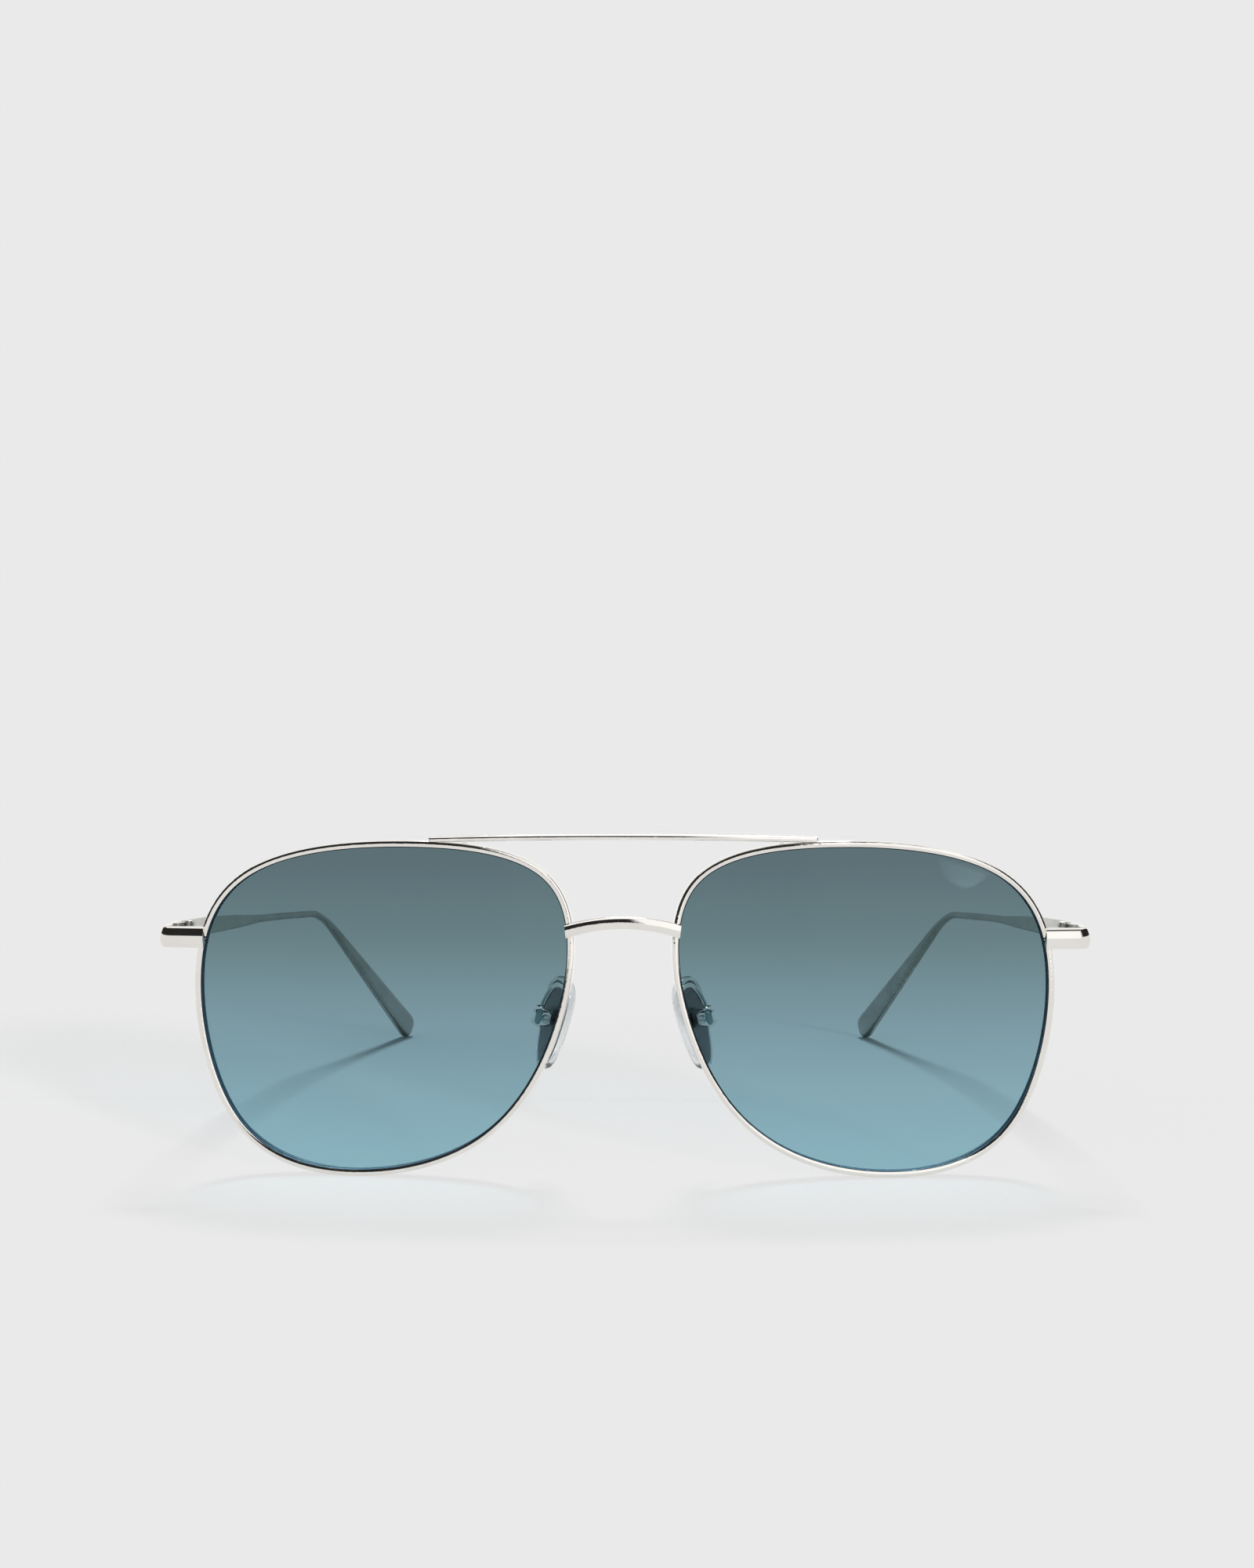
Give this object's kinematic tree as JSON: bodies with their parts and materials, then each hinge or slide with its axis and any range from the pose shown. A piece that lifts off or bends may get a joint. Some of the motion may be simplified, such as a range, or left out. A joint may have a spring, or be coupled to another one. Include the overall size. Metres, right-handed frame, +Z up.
{
  "type": "aviator sunglasses",
  "caption": "Polished metal aviator sunglasses with gradient tinted lenses, a brow bar, rocking nose pads and folding one-piece temples.",
  "frame": {"origin": "centre of the bounding box in X and Y, on the surface that the rims and temple tips stand on", "axes": "+Z up; the wearer looks along -Y, the temples run back along +Y, and +X is the wearer's left"},
  "size_m": [0.1442, 0.1486, 0.0526],
  "materials": {
    "polished_silver": "mirror-polished pale silver plating",
    "satin_silver": "fine matte blasted pale silver",
    "tinted_lens": "blue-grey gradient tint, darker at the top",
    "clear_silicone": "clear soft moulding",
    "screw_steel": "turned steel",
    "white_nylon": "plain moulded",
    "dark_core": "darkened metal plate"
  },
  "bodies": {
    "front": {"bridge": "polished_silver", "brow_bar": "polished_silver", "rim_left": "polished_silver", "lens_left": "tinted_lens", "end_piece_left": "polished_silver", "rim_lock_upper_left": "polished_silver", "rim_lock_lower_left": "polished_silver", "rim_lock_screw_left": "screw_steel", "hinge_front_left": "satin_silver", "hinge_screw_left": "screw_steel", "hinge_washers_left": "white_nylon", "pad_arm_left": "polished_silver", "pad_box_left": "polished_silver", "pad_screw_left": "screw_steel", "rim_right": "polished_silver", "lens_right": "tinted_lens", "end_piece_right": "polished_silver", "rim_lock_upper_right": "polished_silver", "rim_lock_lower_right": "polished_silver", "rim_lock_screw_right": "screw_steel", "hinge_front_right": "satin_silver", "hinge_screw_right": "screw_steel", "hinge_washers_right": "white_nylon", "pad_arm_right": "polished_silver", "pad_box_right": "polished_silver", "pad_screw_right": "screw_steel"},
    "temple_left": {"temple_left": "satin_silver", "hinge_temple_left": "satin_silver"},
    "pad_left": {"nose_pad_left": "clear_silicone", "pad_insert_left": "dark_core"},
    "temple_right": {"temple_right": "satin_silver", "hinge_temple_right": "satin_silver"},
    "pad_right": {"nose_pad_right": "clear_silicone", "pad_insert_right": "dark_core"}
  },
  "joints": [
    {"name": "temple_left_fold", "type": "hinge", "parent": "front", "child": "temple_left", "pos_m": [0.06935, -0.0587, 0.0365], "axis": [0, 0.0698, 0.9976], "range_deg": [0, 82]},
    {"name": "temple_right_fold", "type": "hinge", "parent": "front", "child": "temple_right", "pos_m": [-0.06935, -0.0587, 0.0365], "axis": [0, -0.0698, -0.9976], "range_deg": [0, 74]},
    {"name": "pad_left_rock", "type": "hinge", "parent": "front", "child": "pad_left", "pos_m": [0.0128, -0.0647, 0.0239], "axis": [0.4614, 0.8613, 0.2128], "range_deg": [-8, 8]},
    {"name": "pad_right_rock", "type": "hinge", "parent": "front", "child": "pad_right", "pos_m": [-0.0128, -0.0647, 0.0239], "axis": [-0.4614, 0.8613, 0.2128], "range_deg": [-8, 8]}
  ]
}
